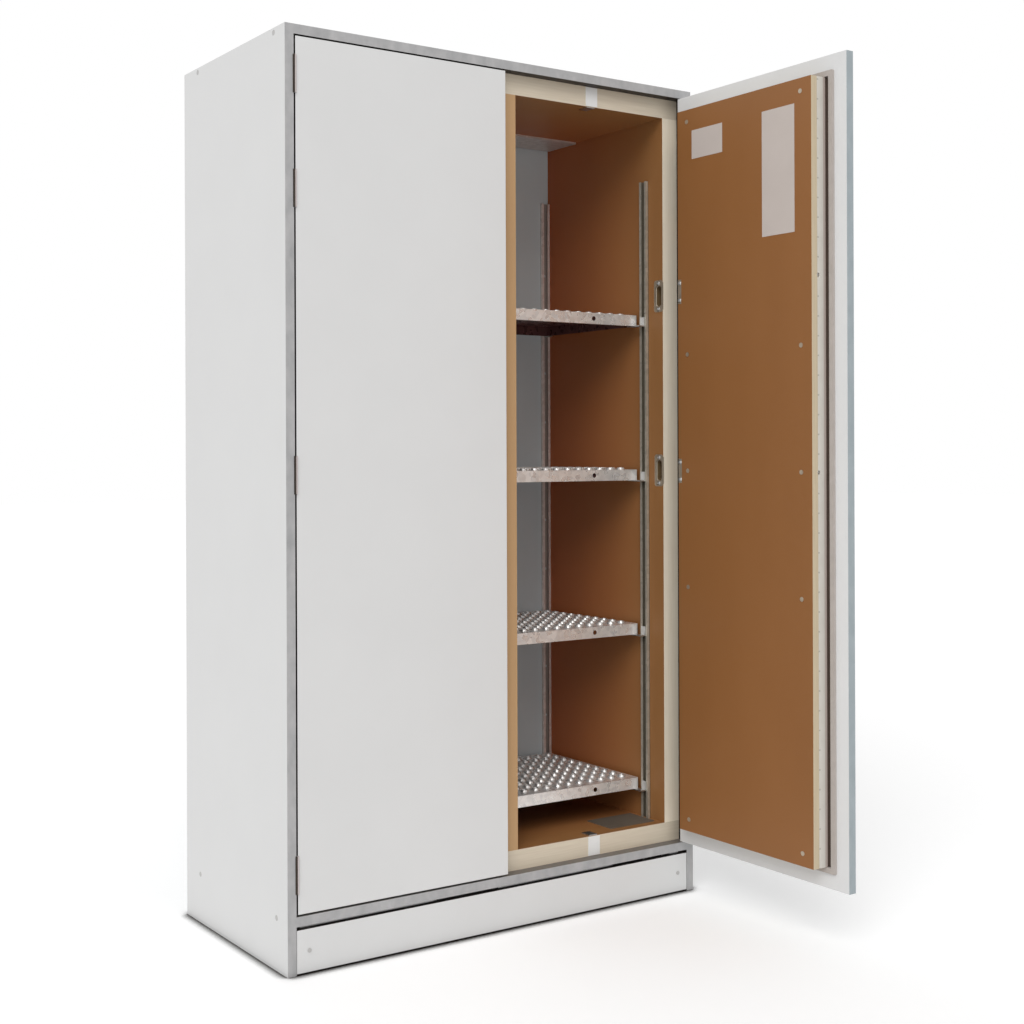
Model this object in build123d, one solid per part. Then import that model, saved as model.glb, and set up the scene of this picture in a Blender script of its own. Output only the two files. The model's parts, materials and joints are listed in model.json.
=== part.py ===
from build123d import *
import os

# Free-standing fire-resistant battery cabinet with two hinged doors, in millimetres.
# +X is to the right of a person facing the doors, +Y to the back, +Z up.
# The origin is the centre of the base, on the floor.

# ---- driving dimensions ----
WIDTH = 1200.0
DEPTH = 550.0
HEIGHT = 2110.0
BOARD = 22.0            # outer coated boards and door leaves
LINING = 50.0           # inner fire-protection boards and door cores
LINING_SETBACK = 30.0   # front edge of the lining behind the cabinet front
UNDER_FLOOR = 108.0     # clear height below the bottom panel
POST_WIDTH = 100.0
DOOR_SIDE_GAP = 4.0
DOOR_TOP_GAP = 4.0
DOOR_BOTTOM_GAP = 5.0
DOOR_MIDDLE_GAP = 4.0
CORE_TOP_INSET = 51.0
CORE_HINGE_INSET = 54.0
CORE_FREE_INSET = 62.0
SHELF_COUNT = 4
SHELF_FIRST = 285.0     # top of the lowest shelf above the floor
SHELF_PITCH = 413.0
SHELF_LIP = 29.0
SHELF_SHEET = 1.5
SHELF_FRONT = 119.0     # front lip behind the cabinet front
RAIL_WIDTH = 27.0
RAIL_DEPTH = 9.0
RAIL_SLOT = 13.0
RAIL_SHEET = 1.5
RAIL_FRONT = 86.0
RAIL_HEADROOM = 158.0   # from the top of a rail to the ceiling
RAIL_HOLE_PITCH = 142.0
HINGE_LENGTH = 84.0
KNUCKLE_RADIUS = 4.0
PIN_RADIUS = 2.0
HINGE_PLATE = 1.5
BOLT_RADIUS = 4.5
BOLT_THROW = 30.0
LOCK_HEIGHT = 1109.0    # lower bolt, also the lower side hook
UPPER_BOLT = 461.0      # upper bolt above the lower one
SPINDLE_INSET = 100.0   # handle spindle from the free edge of the core
SEAL_OFFSET = 37.0      # door seal from the edge of the leaf
SEAL_WIDTH = 13.0
SEAL_THICK = 6.0
SPIGOT_RADIUS = 37.5
SPIGOT_HEIGHT = 50.0
RUN = 0.05              # radial clearance of a running fit
EASE = 0.2              # clearance of a fitted static part

# ---- derived places ----
FRONT = -DEPTH / 2
BACK = DEPTH / 2
SIDE = WIDTH / 2
BACK_FACE = BACK - BOARD                 # inner face of the back panel
WALL = SIDE - BOARD - LINING             # inner face of a side lining
LINING_FRONT = FRONT + LINING_SETBACK
FLOOR = UNDER_FLOOR + BOARD + LINING     # inside floor
CEILING = HEIGHT - BOARD - LINING        # inside ceiling
DOOR_LOW = UNDER_FLOOR + BOARD + DOOR_BOTTOM_GAP
DOOR_HIGH = HEIGHT - BOARD - DOOR_TOP_GAP
LEAF_OUT = SIDE - BOARD - DOOR_SIDE_GAP  # hinge edge of a leaf, from the middle
LEAF_IN = DOOR_MIDDLE_GAP / 2            # free edge of a leaf, from the middle
CORE_OUT = LEAF_OUT - CORE_HINGE_INSET
CORE_IN = LEAF_IN + CORE_FREE_INSET
CORE_LOW = DOOR_LOW + CORE_TOP_INSET
CORE_HIGH = DOOR_HIGH - CORE_TOP_INSET
CORE_FACE = FRONT + BOARD                # where a core meets its leaf
CORE_BACK = CORE_FACE + LINING
CORE_MID = CORE_FACE + LINING / 2
BOLT_Y = CORE_MID + 3                    # lock bolts, a little nearer the core's inner face
HINGE_X = SIDE - BOARD - DOOR_SIDE_GAP / 2
HINGE_Y = FRONT - 1.0
POST_EDGE = POST_WIDTH / 2
DOORWAY_MID = (POST_EDGE + WALL) / 2
DOOR_MID = (DOOR_LOW + DOOR_HIGH) / 2
HINGE_HEIGHTS = [DOOR_HIGH - 84, DOOR_HIGH - 338, DOOR_MID, DOOR_LOW + 88]
BOLT_HEIGHTS = [LOCK_HEIGHT, LOCK_HEIGHT + UPPER_BOLT]
SPINDLE_X = CORE_IN + SPINDLE_INSET
RAIL_TOP = CEILING - RAIL_HEADROOM
SHELF_TOPS = [SHELF_FIRST + SHELF_PITCH * i for i in range(SHELF_COUNT)]
FOOT_X = SIDE - BOARD - 70
FOOT_Y = DEPTH / 2 - 85
SPIGOT_Y = BACK_FACE - 62
SIDES = {"left": -1, "right": 1}
OPEN_TURN = {-1: 0.0, 1: 90.0}  # the left door rests closed, the right one open

os.makedirs("parts", exist_ok=True)


def save(name, *solids):
    """Write one node; a node of several like pieces is a compound of separate solids."""
    shape = solids[0] if len(solids) == 1 else Compound(children=list(solids))
    export_step(shape, f"parts/{name}.step")


def save_on_door(side, name, *solids):
    """Write a node of a door, turned about the door's hinge to where it rests."""
    hinge = Axis((side * HINGE_X, HINGE_Y, 0), (0, 0, 1))
    save(name, *[solid.rotate(hinge, OPEN_TURN[side]) for solid in solids])


def board(x0, x1, y0, y1, z0, z1):
    """A flat board between two corners, given in any order."""
    size = (abs(x1 - x0), abs(y1 - y0), abs(z1 - z0))
    return Pos((x0 + x1) / 2, (y0 + y1) / 2, (z0 + z1) / 2) * Box(*size)


def rod_x(x0, x1, y, z, radius):
    """A round bar along X."""
    return Pos((x0 + x1) / 2, y, z) * Rot(0, 90, 0) * Cylinder(radius, abs(x1 - x0))


def rod_y(x, y0, y1, z, radius):
    """A round bar along Y."""
    return Pos(x, (y0 + y1) / 2, z) * Rot(90, 0, 0) * Cylinder(radius, abs(y1 - y0))


def rod_z(x, y, z0, z1, radius):
    """A round bar along Z."""
    return Pos(x, y, (z0 + z1) / 2) * Cylinder(radius, abs(z1 - z0))


def slab_x(x0, x1, y, z, wide, tall, corner):
    """A plate with rounded corners that faces along X."""
    face = Plane.YZ * RectangleRounded(wide, tall, corner)
    return Pos(min(x0, x1), y, z) * extrude(face, abs(x1 - x0))


def slab_y(y0, y1, x, z, wide, tall, corner):
    """A plate with rounded corners that faces along Y."""
    face = Plane.XZ * RectangleRounded(wide, tall, corner)
    return Pos(x, max(y0, y1), z) * extrude(face, abs(y1 - y0))


def screw_y(x, y, z, head, shank, length):
    """A pan-head screw driven towards -Y from a face at y."""
    return rod_y(x, y - 1, y + 1, z, head) + rod_y(x, y - length, y - 1, z, shank)


# ---- carcass panels ----
TOP_SCREWS = [(FRONT + 54, HEIGHT - BOARD / 2), (BACK_FACE - 60, HEIGHT - BOARD / 2)]
LOW_SCREWS = [(FRONT + 54, UNDER_FLOOR + BOARD / 2), (BACK_FACE - 60, UNDER_FLOOR + BOARD / 2)]
CASE_SCREWS = TOP_SCREWS + LOW_SCREWS
CASE_SCREW_LENGTH = 60.0


def hinge_clearance(side):
    """Space swept by the knuckles, cut from the side panel and from the leaf."""
    cuts = []
    for z in HINGE_HEIGHTS:
        half = HINGE_LENGTH / 2 + 0.5
        cuts.append(rod_z(side * HINGE_X, HINGE_Y, z - half, z + half, KNUCKLE_RADIUS + 0.4))
    return cuts


def plate_recess(side, edge, direction):
    """Shallow recesses for the hinge plates in a face at x = edge."""
    half = HINGE_LENGTH / 2 + EASE
    cuts = []
    for z in HINGE_HEIGHTS:
        x0, x1 = side * edge, side * (edge + direction * HINGE_PLATE)
        cuts.append(board(x0, x1, FRONT - 1, FRONT + 19 + EASE, z - half, z + half))
    return cuts


def side_panel(side):
    """Outer side board, full height, with screw bores and hinge recesses."""
    panel = board(side * (SIDE - BOARD), side * SIDE, FRONT, BACK, 0, HEIGHT)
    for cut in hinge_clearance(side) + plate_recess(side, SIDE - BOARD, 1):
        panel -= cut
    for y, z in CASE_SCREWS:
        panel -= rod_x(side * (SIDE - BOARD - 1), side * (SIDE + 1), y, z, 3 + EASE)
        panel -= rod_x(side * (SIDE - 4), side * (SIDE + 1), y, z, 6 + EASE)
    return panel


def case_screws(side):
    """Case screws driven through a side panel, with their heads sunk flush."""
    screws = []
    for y, z in CASE_SCREWS:
        head = rod_x(side * (SIDE - 4), side * (SIDE - 0.3), y, z, 6)
        shank = rod_x(side * (SIDE - CASE_SCREW_LENGTH), side * (SIDE - 4), y, z, 3)
        screws.append(head + shank)
    return screws


def drilled_for_case_screws(panel, rows):
    """The same screws' pilot bores in the end grain of a level panel."""
    for side in SIDES.values():
        for y, z in rows:
            x0, x1 = side * (SIDE - CASE_SCREW_LENGTH - 2), side * SIDE
            panel -= rod_x(x0, x1, y, z, 3 + EASE)
    return panel


for word, side in SIDES.items():
    save(f"side_panel_{word}", side_panel(side))
save("case_screws", *case_screws(-1), *case_screws(1))

INSIDE = SIDE - BOARD
top_panel = board(-INSIDE, INSIDE, FRONT, BACK_FACE, HEIGHT - BOARD, HEIGHT)
top_panel = drilled_for_case_screws(top_panel, TOP_SCREWS)
top_panel -= rod_z(0, SPIGOT_Y, HEIGHT - BOARD - 1, HEIGHT + 1, SPIGOT_RADIUS + EASE)
save("top_panel", top_panel)

bottom_panel = board(-INSIDE, INSIDE, FRONT, BACK_FACE, UNDER_FLOOR, UNDER_FLOOR + BOARD)
bottom_panel = drilled_for_case_screws(bottom_panel, LOW_SCREWS)
for side in SIDES.values():
    for along in (-1, 1):
        bottom_panel -= rod_z(side * FOOT_X, along * FOOT_Y, UNDER_FLOOR - 1, FLOOR, 12)
save("bottom_panel", bottom_panel)

save("back_panel", board(-INSIDE, INSIDE, BACK_FACE, BACK, 0, HEIGHT))

# ---- base ----
PLINTH_TOP = UNDER_FLOOR - 8
PLINTH_LOW = 4.0
PLINTH_BOARD = 16.0
PLINTH_SCREW_INSET = 32.0
PLINTH_SCREW_LENGTH = 38.0
BLOCK_WIDE = 32.0
BLOCK_DEEP = 30.0
BEARER_SETBACK = 60.0
PLINTH_SCREW_X = INSIDE - PLINTH_SCREW_INSET
plinth_back = FRONT + PLINTH_BOARD
plinth = board(-INSIDE + 1, INSIDE - 1, FRONT, plinth_back, PLINTH_LOW, PLINTH_TOP)
blocks = []
plinth_screws = []
for side in SIDES.values():
    x = side * PLINTH_SCREW_X
    z = (PLINTH_LOW + PLINTH_TOP) / 2
    screw_end = FRONT + PLINTH_SCREW_LENGTH
    plinth -= rod_y(x, FRONT - 1, plinth_back + 1, z, 2.5 + EASE)
    block = board(x - BLOCK_WIDE / 2, x + BLOCK_WIDE / 2, plinth_back, plinth_back + BLOCK_DEEP,
                  12, UNDER_FLOOR)
    blocks.append(block - rod_y(x, FRONT, screw_end + 2, z, 2.5 + EASE))
    head = rod_y(x, FRONT - 1.8, FRONT, z, 5)
    plinth_screws.append(head + rod_y(x, FRONT, screw_end, z, 2.5))
save("plinth_cover", plinth)
save("plinth_blocks", *blocks)
save("plinth_screws", *plinth_screws)
save("base_bearer", board(-BOARD / 2, BOARD / 2, FRONT + BEARER_SETBACK, BACK_FACE, 0,
                            UNDER_FLOOR))


def levelling_foot(x, y):
    """Threaded foot with a domed pad, screwed up into a nut under the bottom panel."""
    pad = Cone(24, 20, 9)
    pad = Pos(x, y, 6.5) * pad
    return pad + rod_z(x, y, 11, UNDER_FLOOR + 30, 6)


def foot_nut(x, y):
    """Flanged nut block under the bottom panel that carries the foot."""
    low = UNDER_FLOOR - 18
    face = Pos(x, y, low) * RegularPolygon(20, 6)
    nut = extrude(face, 12)
    nut += board(x - 30, x + 30, y - 24, y + 24, UNDER_FLOOR - 6, UNDER_FLOOR)
    return nut - rod_z(x, y, low - 1, UNDER_FLOOR + 1, 6 + EASE)


foot_places = [(side * FOOT_X, along * FOOT_Y) for side in (-1, 1) for along in (-1, 1)]
save("levelling_feet", *[levelling_foot(x, y) for x, y in foot_places])
save("foot_nuts", *[foot_nut(x, y) for x, y in foot_places])

# ---- fire lining ----
HOOK_TALL = 40.0
HOOK_DEEP = 8.0
HOOK_REACH = 13.0
HOOK_PLATE = 24.0       # let-in base plate of a hook
HOOK_PLATE_TALL = 62.0
HOOK_WRAP = 12.0        # part of the plate folded onto the core's inner face
HOOK_SHEET = 2.0
POCKET_WIDE = 22.0
POCKET_TALL = 54.0
POCKET_PLATE = 34.0
POCKET_PLATE_TALL = 84.0
POCKET_SHEET = 2.0


def side_lining(side):
    """Lining of a side wall, with the pockets that take the hinge-side hooks."""
    wall = board(side * WALL, side * INSIDE, LINING_FRONT, BACK_FACE, FLOOR, CEILING)
    for z in BOLT_HEIGHTS:
        plate = POCKET_PLATE + 2 * EASE, POCKET_PLATE_TALL + 2 * EASE
        wall -= slab_x(side * WALL, side * (WALL + POCKET_SHEET), CORE_MID, z, *plate, 8)
        wall -= slab_x(side * WALL, side * (WALL + 20), CORE_MID, z, POCKET_WIDE, POCKET_TALL, 8)
        for end in (-1, 1):
            bore_z = z + end * (POCKET_PLATE_TALL / 2 - 8)
            wall -= rod_x(side * WALL, side * (WALL + 22), CORE_MID, bore_z, 2 + EASE)
    return wall


def hook_pocket(side, z):
    """Let-in steel plate with the slot that the hook enters."""
    plate = slab_x(side * WALL, side * (WALL + POCKET_SHEET), CORE_MID, z,
                   POCKET_PLATE, POCKET_PLATE_TALL, 8)
    plate -= slab_x(side * (WALL - 1), side * (WALL + 3), CORE_MID, z, POCKET_WIDE, POCKET_TALL, 8)
    for end in (-1, 1):
        bore_z = z + end * (POCKET_PLATE_TALL / 2 - 8)
        plate += rod_x(side * (WALL + 1), side * (WALL + 20), CORE_MID, bore_z, 2)
    return plate


for word, side in SIDES.items():
    save(f"lining_{word}", side_lining(side))
save("hook_pockets", *[hook_pocket(side, z) for side in (-1, 1) for z in BOLT_HEIGHTS])

lining_top = board(-INSIDE, INSIDE, LINING_FRONT, BACK_FACE, CEILING, HEIGHT - BOARD)
lining_top -= rod_z(0, SPIGOT_Y, CEILING - 1, HEIGHT, SPIGOT_RADIUS + EASE)
save("lining_top", lining_top)

lining_bottom = board(-INSIDE, INSIDE, LINING_FRONT, BACK_FACE, UNDER_FLOOR + BOARD, FLOOR)
for x, y in foot_places:
    lining_bottom -= rod_z(x, y, UNDER_FLOOR, FLOOR + 1, 12)
save("lining_bottom", lining_bottom)

STRIKE_WIDE = 22.0
STRIKE_TALL = 110.0
STRIKE_SHEET = 2.0


def strike_plate(x0, x1, z, hole):
    """Rounded plate let into the post's edge, with a hole for a bolt."""
    plate = slab_x(x0, x1, BOLT_Y, z, STRIKE_WIDE, STRIKE_TALL, 6)
    plate -= rod_x(min(x0, x1) - 1, max(x0, x1) + 1, BOLT_Y, z, hole)
    return plate


post = board(-POST_EDGE, POST_EDGE, LINING_FRONT, LINING_FRONT + LINING, FLOOR, CEILING)
strikes = []
for z in BOLT_HEIGHTS:
    face, deep = POST_EDGE, POST_EDGE - STRIKE_SHEET
    post -= slab_x(face, deep, BOLT_Y, z, STRIKE_WIDE + 2 * EASE, STRIKE_TALL + 2 * EASE, 6)
    post -= rod_x(face, POST_EDGE - BOLT_THROW - 2, BOLT_Y, z, BOLT_RADIUS + 1)
    strikes.append(strike_plate(face, deep, z, BOLT_RADIUS + 1))
save("centre_post", post)
save("strike_plates", *strikes)

MAGNET_TALL = 60.0
MAGNET_HEIGHTS = [DOOR_LOW + 130, DOOR_HIGH - 130]
MAGNET_X0 = -LEAF_IN - 8
MAGNET_X1 = MAGNET_X0 - 15
magnet_plates = [board(MAGNET_X0, MAGNET_X1, LINING_FRONT - 1.2, LINING_FRONT,
                       z - MAGNET_TALL / 2, z + MAGNET_TALL / 2) for z in MAGNET_HEIGHTS]
save("magnet_plates", *magnet_plates)

# ---- inside fittings ----


def shelf_rail(x, y, turn):
    """Galvanised C-rail with its slot towards -X before the turn, and round web holes."""
    outline = Rectangle(RAIL_DEPTH, RAIL_WIDTH)
    hollow = Rectangle(RAIL_DEPTH - 2 * RAIL_SHEET, RAIL_WIDTH - 2 * RAIL_SHEET)
    slot = Pos(-RAIL_DEPTH / 2, 0) * Rectangle(3 * RAIL_SHEET, RAIL_SLOT)
    rail = extrude(outline - hollow - slot, RAIL_TOP - FLOOR)
    for i in range(int((RAIL_TOP - FLOOR) / RAIL_HOLE_PITCH)):
        z = RAIL_HOLE_PITCH * (i + 0.5)
        rail -= rod_x(0, RAIL_DEPTH, 0, z, 4)
    return Pos(x, y, FLOOR) * Rot(0, 0, turn) * rail


RAIL_FRONT_Y = FRONT + RAIL_FRONT + RAIL_WIDTH / 2
RAIL_REAR_X = WALL - RAIL_WIDTH / 2 - 0.5
save("rails_front", shelf_rail(WALL - RAIL_DEPTH / 2, RAIL_FRONT_Y, 0),
     shelf_rail(RAIL_DEPTH / 2 - WALL, RAIL_FRONT_Y, 180))
save("rails_rear", *[shelf_rail(side * RAIL_REAR_X, BACK_FACE - RAIL_DEPTH / 2, 90)
                     for side in (-1, 1)])

CLIP_SHEET = 2.5
SHELF_EDGE = WALL - RAIL_DEPTH - CLIP_SHEET - 1.5
SHELF_Y0 = FRONT + SHELF_FRONT
SHELF_Y1 = BACK_FACE - RAIL_DEPTH - CLIP_SHEET - 1.5
LIP_HOLE_X = 367.0


def shelf(top):
    """Folded sheet shelf: turned-down edges, a returned front lip and lip holes."""
    mid_y, deep = (SHELF_Y0 + SHELF_Y1) / 2, SHELF_Y1 - SHELF_Y0
    tray = Pos(0, mid_y, top - SHELF_LIP / 2) * Box(2 * SHELF_EDGE, deep, SHELF_LIP)
    tray = fillet(tray.edges().filter_by(Axis.Z), 3)
    rim = SHELF_SHEET
    tray -= Pos(0, mid_y, top - SHELF_LIP / 2 - rim) * Box(
        2 * (SHELF_EDGE - rim), deep - 2 * rim, SHELF_LIP)
    low = top - SHELF_LIP
    tray += board(-SHELF_EDGE + 6, SHELF_EDGE - 6, SHELF_Y0 + rim / 2, SHELF_Y0 + 16, low, low + rim)
    for side in SIDES.values():
        tray -= rod_y(side * LIP_HOLE_X, SHELF_Y0 - 1, SHELF_Y0 + 3, top - SHELF_LIP / 2, 6)
    return tray


CLIP_HALF = 8.0
CLIP_REACH = 20.0
TONGUE_HALF = RAIL_SLOT / 2 - 0.5


def front_clip(side, top):
    """Bent clip on a front rail: tongue in the slot, ledge back under the shelf."""
    low = top - SHELF_LIP - CLIP_SHEET
    face = WALL - RAIL_DEPTH - 0.1
    near, far = RAIL_FRONT_Y - CLIP_HALF, RAIL_FRONT_Y + CLIP_HALF
    clip = board(side * (face - CLIP_SHEET), side * face, near, far, low, top - 6)
    clip += board(side * (face - CLIP_REACH), side * face, near, SHELF_Y0 + CLIP_REACH,
                  low, low + CLIP_SHEET)
    return clip + board(side * (face - 1), side * (face + 6), RAIL_FRONT_Y - TONGUE_HALF,
                        RAIL_FRONT_Y + TONGUE_HALF, top - 22, top - 12)


def rear_clip(side, top):
    """Bent clip on a rear rail: tongue in the slot, ledge forward under the shelf."""
    low = top - SHELF_LIP - CLIP_SHEET
    face = BACK_FACE - RAIL_DEPTH - 0.1
    x0, x1 = side * (RAIL_REAR_X - CLIP_HALF), side * (RAIL_REAR_X + CLIP_HALF)
    clip = board(x0, x1, face - CLIP_SHEET, face, low, top - 6)
    clip += board(x0, x1, face - CLIP_REACH, face, low, low + CLIP_SHEET)
    return clip + board(side * (RAIL_REAR_X - TONGUE_HALF), side * (RAIL_REAR_X + TONGUE_HALF),
                        face - 1, face + 6, top - 22, top - 12)


for i, top in enumerate(SHELF_TOPS):
    save(f"shelf_{i + 1}", shelf(top))
clips = [clip(side, top) for top in SHELF_TOPS for clip in (front_clip, rear_clip)
         for side in (-1, 1)]
save("shelf_clips", *clips)

DUCT_DEEP = 125.0
DUCT_TALL = 5.0
DUCT_SHEET = 1.5
DUCT_SLOTS = 7
duct_wide = 2 * WALL - 4
duct_mid = BACK_FACE - RAIL_DEPTH - 1 - DUCT_DEEP / 2
duct = Pos(0, duct_mid, CEILING - DUCT_TALL / 2) * Box(duct_wide, DUCT_DEEP, DUCT_TALL)
duct -= Pos(0, duct_mid, CEILING - DUCT_TALL / 2 + DUCT_SHEET) * Box(
    duct_wide - 2 * DUCT_SHEET, DUCT_DEEP - 2 * DUCT_SHEET, DUCT_TALL)
for i in range(DUCT_SLOTS):
    slot_y = SPIGOT_Y + 10 * (i - (DUCT_SLOTS - 1) / 2)
    duct -= Pos(0, slot_y, CEILING - DUCT_TALL) * extrude(SlotOverall(70, 5), 4, both=True)
save("duct_cover", duct)

spigot = rod_z(0, SPIGOT_Y, CEILING + 1, HEIGHT + SPIGOT_HEIGHT, SPIGOT_RADIUS)
spigot += rod_z(0, SPIGOT_Y, HEIGHT, HEIGHT + 2, SPIGOT_RADIUS + 16)
spigot -= rod_z(0, SPIGOT_Y, CEILING, HEIGHT + SPIGOT_HEIGHT + 1, SPIGOT_RADIUS - 1.5)
save("exhaust_spigot", spigot)

FLOOR_PLATE = 150.0
FLOOR_PLATE_DEEP = 100.0
FLOOR_PLATE_FRONT = 56.0   # front edge of the plate behind the cabinet front
floor_plates = []
for side in SIDES.values():
    x, y = side * (WALL - RAIL_DEPTH - 2 - FLOOR_PLATE / 2), FRONT + FLOOR_PLATE_FRONT + FLOOR_PLATE_DEEP / 2
    plate = Pos(x, y, FLOOR + 0.75) * Box(FLOOR_PLATE, FLOOR_PLATE_DEEP, 1.5)
    floor_plates.append(fillet(plate.edges().filter_by(Axis.Z), 4))
save("floor_plates", *floor_plates)

GLIDE_WIDE = 37.0
GLIDE_SHEET = 1.5
RUNNER_DEEP = 32.0
glides = []
glide_plates = []
for side in SIDES.values():
    x0, x1 = side * DOORWAY_MID - GLIDE_WIDE / 2, side * DOORWAY_MID + GLIDE_WIDE / 2
    for low, high in ((CEILING + 1, HEIGHT - BOARD - 1), (UNDER_FLOOR + BOARD + 1, FLOOR - 1)):
        glides.append(board(x0, x1, LINING_FRONT - GLIDE_SHEET, LINING_FRONT, low, high))
    for face, way in ((CEILING, -1), (FLOOR, 1)):
        runner_y = LINING_FRONT + 2
        runner = board(x0 + 6, x1 - 6, runner_y, runner_y + RUNNER_DEEP, face, face + way * 2.5)
        glide_plates.append(chamfer(runner.edges().filter_by(Axis.X).sort_by(Axis.Y)[:1], 0.8))
save("door_glides", *glides)
save("glide_plates", *glide_plates)

# ---- hinges ----
LOWER_END = -HINGE_LENGTH / 2
KNUCKLE_HALF = HINGE_LENGTH / 6


def hinge_fixed(side, z):
    """Cabinet half of a butt hinge: plate, two outer knuckles and the pin."""
    x0, x1 = side * (SIDE - BOARD), side * (SIDE - BOARD + HINGE_PLATE)
    plate = board(x0, x1, FRONT + 3.6, FRONT + 19, z + LOWER_END, z - LOWER_END)
    for way in (-1, 1):
        near, far = z + way * (KNUCKLE_HALF + 0.2), z + way * HINGE_LENGTH / 2
        plate += board(x0, x1, HINGE_Y, FRONT + 4, near, far)
        plate += rod_z(side * HINGE_X, HINGE_Y, near, far, KNUCKLE_RADIUS)
    return plate + rod_z(side * HINGE_X, HINGE_Y, z + LOWER_END, z - LOWER_END, PIN_RADIUS)


def hinge_moving(side, z):
    """Door half of a butt hinge: plate and the middle knuckle on the pin."""
    x0, x1 = side * LEAF_OUT, side * (LEAF_OUT - HINGE_PLATE)
    plate = board(x0, x1, FRONT + 3.6, FRONT + 19, z + LOWER_END, z - LOWER_END)
    near, far = z - KNUCKLE_HALF, z + KNUCKLE_HALF
    plate += board(x0, x1, HINGE_Y, FRONT + 4, near, far)
    plate += rod_z(side * HINGE_X, HINGE_Y, near, far, KNUCKLE_RADIUS)
    return plate - rod_z(side * HINGE_X, HINGE_Y, near - 1, far + 1, PIN_RADIUS + RUN)


# ---- doors, built closed ----
SCREW_END = 30.5        # outer door screws from the ends of the core
SCREW_STEPS = [-1, -1 / 3, 0, 1 / 3, 1]
SCREW_INSET = 34.0
CORE_SCREW = 13.0
CORE_SCREW_HEAD = 5.5
CORE_SCREW_SHANK = 2.2
STRIP_WIDE = 31.0
STRIP_THICK = 2.0
ESCUTCHEON_TALL = 230.0
ESCUTCHEON_WIDE = 44.0
ESCUTCHEON_THICK = 8.0
CYLINDER_DROP = 72.0
CYLINDER_RADIUS = 8.5
PLUG_RADIUS = 6.0
PINION_RADIUS = BOLT_THROW / 1.5708
SPINDLE_RADIUS = 5.0
NECK_RADIUS = 9.0
BAR_X = CORE_IN + 72
BAR_WIDE = 20.0
BAR_Y = CORE_MID - 5
RACK_LOW = LOCK_HEIGHT + PINION_RADIUS + 0.3
RACK_TALL = 8.0
BAR_THICK = 6.0
BAR_END = 12.0          # the bar's length beyond each bolt
CASE_HALF = 10.5        # half the depth of the lock case
CASE_SHEET = 2.0
CASE_STUD = 2.5
CASE_X0 = SPINDLE_X - 24
CASE_X1 = SPINDLE_X + 42
CASE_LOW = LOCK_HEIGHT - 32
CASE_HIGH = LOCK_HEIGHT + 38


def door_leaf(side):
    """Outer coated board of a door with its hinge recesses."""
    leaf = board(side * LEAF_IN, side * LEAF_OUT, FRONT, FRONT + BOARD, DOOR_LOW, DOOR_HIGH)
    for cut in hinge_clearance(side) + plate_recess(side, LEAF_OUT, -1):
        leaf -= cut
    if side > 0:
        leaf -= rod_y(SPINDLE_X, FRONT - 1, CORE_FACE + 1, LOCK_HEIGHT, NECK_RADIUS + 1)
        drop = LOCK_HEIGHT - CYLINDER_DROP
        leaf -= rod_y(SPINDLE_X, FRONT - 1, CORE_FACE + 1, drop, CYLINDER_RADIUS + EASE)
    return leaf


def core_screw_places(side):
    """The rows of screws near both upright edges of the core."""
    columns = [CORE_IN + SCREW_INSET, CORE_OUT - SCREW_INSET]
    reach = (CORE_HIGH - CORE_LOW) / 2 - SCREW_END
    return [(side * x, DOOR_MID + step * reach) for x in columns for step in SCREW_STEPS]


def hook_wrap(side, z, ease):
    """The hook plate's bent end, folded round the corner onto the core's inner face."""
    half = HOOK_PLATE_TALL / 2 + ease
    low, high = z - half, z + half
    edge_leg = board(side * (CORE_OUT - HOOK_SHEET), side * CORE_OUT, CORE_MID, CORE_BACK,
                     low, high)
    face_leg = board(side * (CORE_OUT - HOOK_WRAP - ease), side * CORE_OUT,
                     CORE_BACK - HOOK_SHEET, CORE_BACK, low, high)
    return edge_leg + face_leg


def door_core(side):
    """Fire-protection board of a door, cut out for its fittings."""
    core = board(side * CORE_IN, side * CORE_OUT, CORE_FACE, CORE_BACK, CORE_LOW, CORE_HIGH)
    groove = CORE_FACE, CORE_FACE + STRIP_WIDE + EASE
    core -= board(side * CORE_IN, side * (CORE_IN + STRIP_THICK), *groove, CORE_LOW, CORE_HIGH)
    for x, z in core_screw_places(side):
        bore_end = CORE_BACK - CORE_SCREW - 2
        core -= rod_y(x, bore_end, CORE_BACK + 1, z, CORE_SCREW_SHANK + EASE)
        core -= rod_y(x, CORE_BACK - 1.5, CORE_BACK + 1, z, CORE_SCREW_HEAD + EASE)
    for z in BOLT_HEIGHTS:
        base = side * CORE_OUT, side * (CORE_OUT - HOOK_SHEET)
        core -= slab_x(*base, CORE_MID, z, HOOK_PLATE + 2 * EASE, HOOK_PLATE_TALL + 2 * EASE, 4)
        core -= hook_wrap(side, z, EASE)
    if side > 0:
        for cut in lock_cavities():
            core -= cut
    return core


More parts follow.
